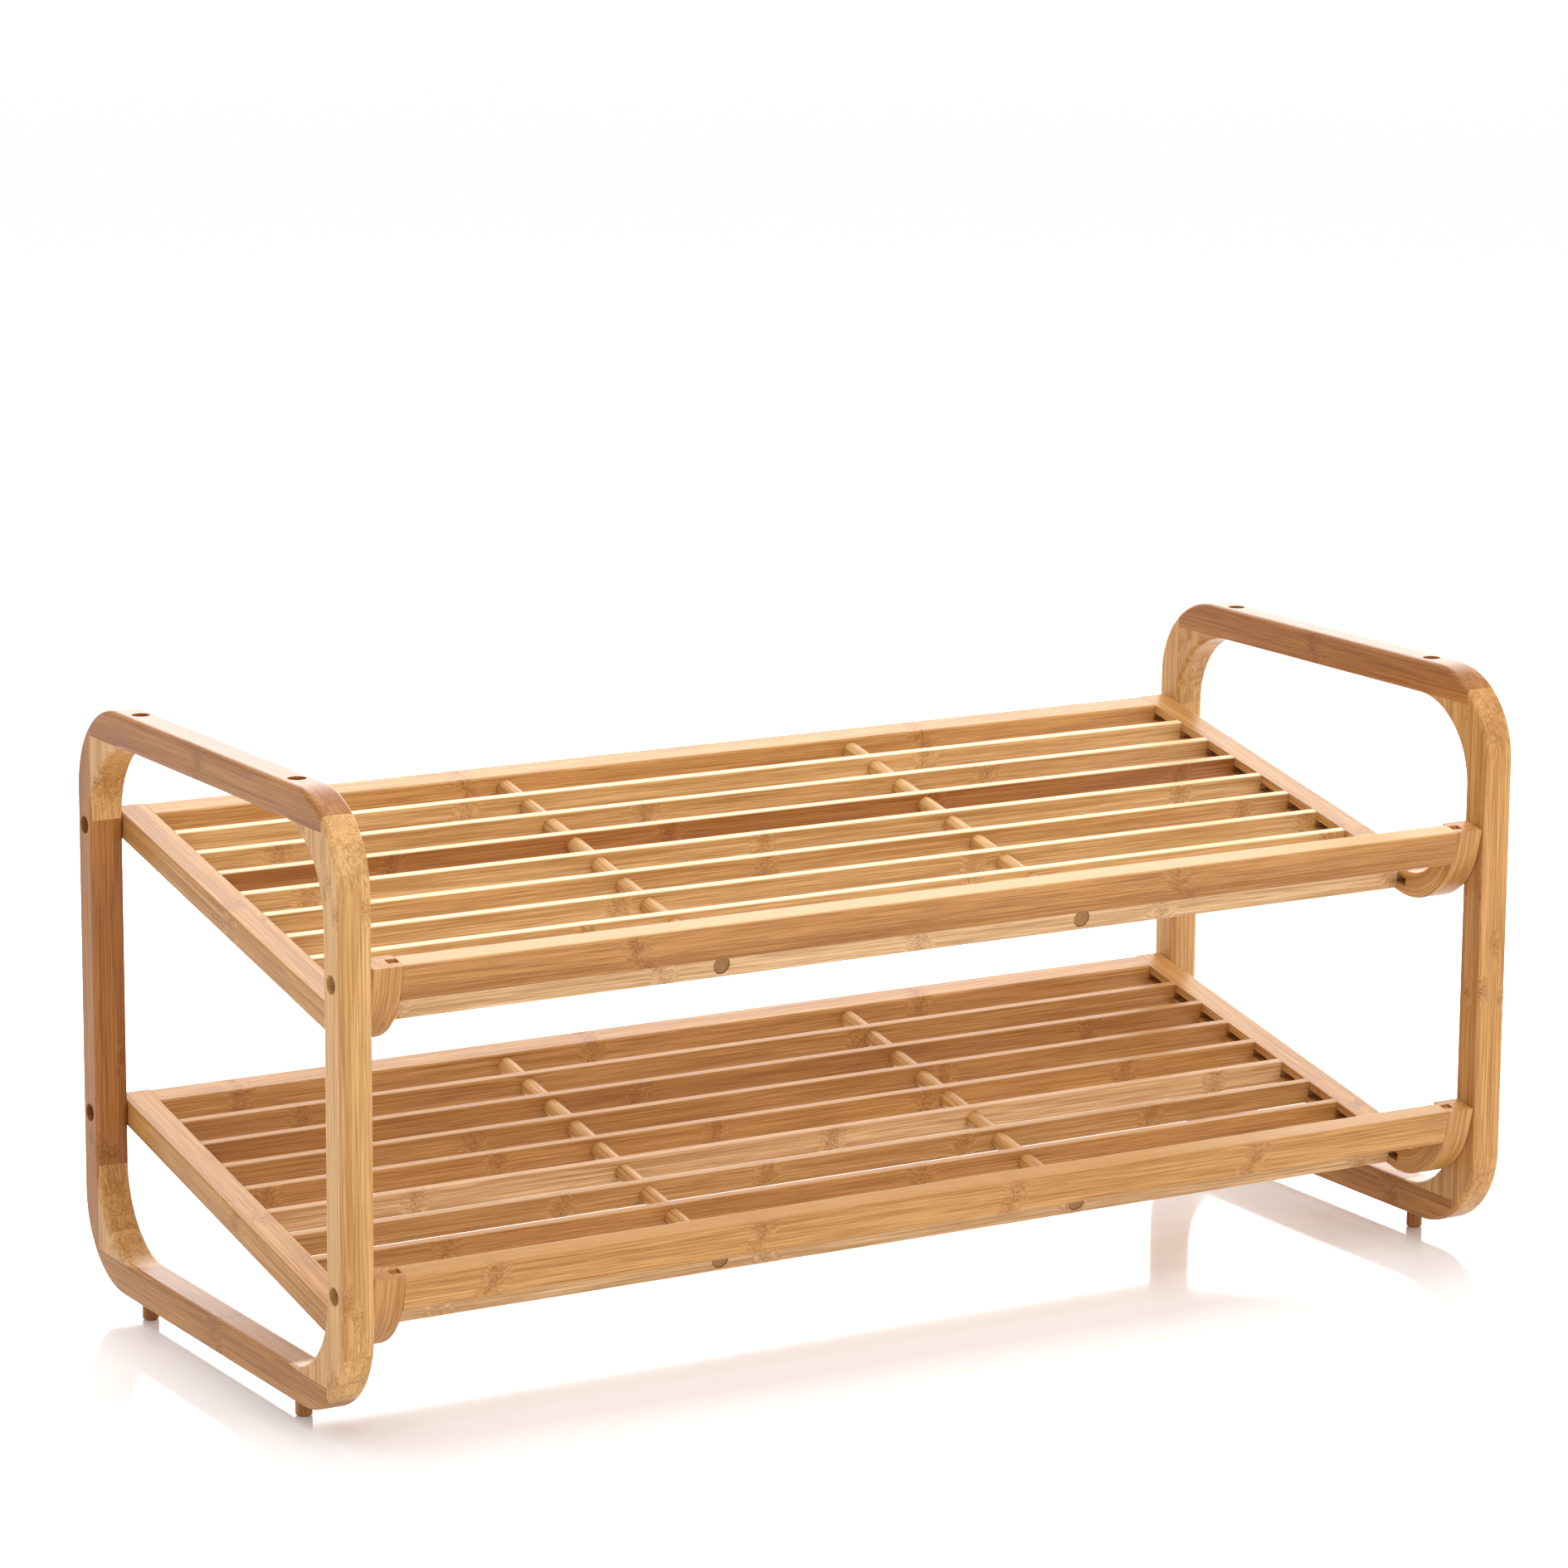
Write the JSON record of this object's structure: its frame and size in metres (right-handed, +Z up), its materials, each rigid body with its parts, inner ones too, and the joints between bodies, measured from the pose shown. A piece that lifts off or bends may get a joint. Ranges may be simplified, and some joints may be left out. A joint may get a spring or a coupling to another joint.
{
  "type": "two-tier slatted shoe rack",
  "caption": "Low bamboo entryway rack: two rounded side frames carry two forward-sloping slatted shelves with raised front lips; pegs and sockets let racks stack.",
  "frame": {"origin": "on the floor, under the middle of the rack", "axes": "+X along the rack to the viewer's right when facing its front, +Y from the front to the back, +Z up"},
  "size_m": [0.74, 0.327, 0.339],
  "materials": {
    "frame_bars": "satin clear-coated laminated bamboo, strips running along each bar",
    "corner_blocks": "satin clear-coated bamboo, grain upright, end grain on the curves",
    "side_rails": "satin clear-coated bent bamboo lamination in three layers",
    "cross_rails": "satin clear-coated laminated bamboo",
    "lip_boards": "satin clear-coated laminated bamboo",
    "slats": "satin clear-coated bamboo strip",
    "rods": "satin clear-coated bamboo dowel",
    "foot_pegs": "bamboo peg",
    "joint_dowels": "plain bamboo dowel",
    "screws": "zinc-plated steel"
  },
  "bodies": {
    "root": {"left_frame_back_foot": "foot_pegs", "left_frame_back_post": "frame_bars", "left_frame_bottom_back_block": "corner_blocks", "left_frame_bottom_front_block": "corner_blocks", "left_frame_bottom_rail": "frame_bars", "left_frame_front_foot": "foot_pegs", "left_frame_front_post": "frame_bars", "left_frame_joint_dowels": "joint_dowels", "left_frame_top_back_block": "corner_blocks", "left_frame_top_front_block": "corner_blocks", "left_frame_top_rail": "frame_bars", "lower_shelf_back_rail": "cross_rails", "lower_shelf_front_rail": "cross_rails", "lower_shelf_left_rail": "side_rails", "lower_shelf_left_rod": "rods", "lower_shelf_lip_board": "lip_boards", "lower_shelf_right_rail": "side_rails", "lower_shelf_right_rod": "rods", "lower_shelf_screws": "screws", "lower_shelf_slat_1": "slats", "lower_shelf_slat_2": "slats", "lower_shelf_slat_3": "slats", "lower_shelf_slat_4": "slats", "lower_shelf_slat_5": "slats", "lower_shelf_slat_6": "slats", "lower_shelf_slat_7": "slats", "right_frame_back_foot": "foot_pegs", "right_frame_back_post": "frame_bars", "right_frame_bottom_back_block": "corner_blocks", "right_frame_bottom_front_block": "corner_blocks", "right_frame_bottom_rail": "frame_bars", "right_frame_front_foot": "foot_pegs", "right_frame_front_post": "frame_bars", "right_frame_joint_dowels": "joint_dowels", "right_frame_top_back_block": "corner_blocks", "right_frame_top_front_block": "corner_blocks", "right_frame_top_rail": "frame_bars", "top_shelf_back_rail": "cross_rails", "top_shelf_front_rail": "cross_rails", "top_shelf_left_rail": "side_rails", "top_shelf_left_rod": "rods", "top_shelf_lip_board": "lip_boards", "top_shelf_right_rail": "side_rails", "top_shelf_right_rod": "rods", "top_shelf_screws": "screws", "top_shelf_slat_1": "slats", "top_shelf_slat_2": "slats", "top_shelf_slat_3": "slats", "top_shelf_slat_4": "slats", "top_shelf_slat_5": "slats", "top_shelf_slat_6": "slats", "top_shelf_slat_7": "slats"}
  },
  "joints": []
}
